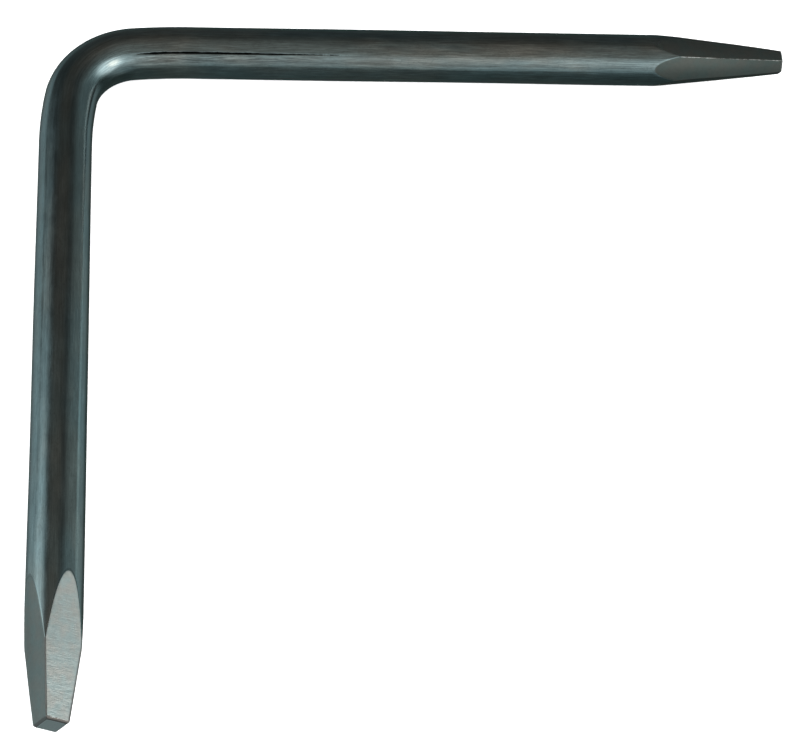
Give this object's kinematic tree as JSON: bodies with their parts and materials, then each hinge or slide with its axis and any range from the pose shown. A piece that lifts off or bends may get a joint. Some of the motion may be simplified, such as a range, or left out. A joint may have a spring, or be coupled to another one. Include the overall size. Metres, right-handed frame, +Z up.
{
  "type": "tapered faucet seat wrench",
  "caption": "L-shaped seat wrench bent from round steel bar, with one end ground to a tapered hexagon and the other to a tapered square.",
  "frame": {"origin": "centre of the wrench's bounding box, on the surface that it lies on", "axes": "+Z up, normal to the plane of the L; +X along the hexagonal leg towards its tip; -Y along the square leg towards its tip"},
  "size_m": [0.1376, 0.1404, 0.0095],
  "materials": {
    "drawn_steel": "cold-drawn steel bar, dark grey with a faint green-blue cast, satin gloss with fine lengthwise draw lines; the ground ends are paler with fine grinding marks"
  },
  "bodies": {
    "root": {"wrench_bar": "drawn_steel"}
  },
  "joints": []
}
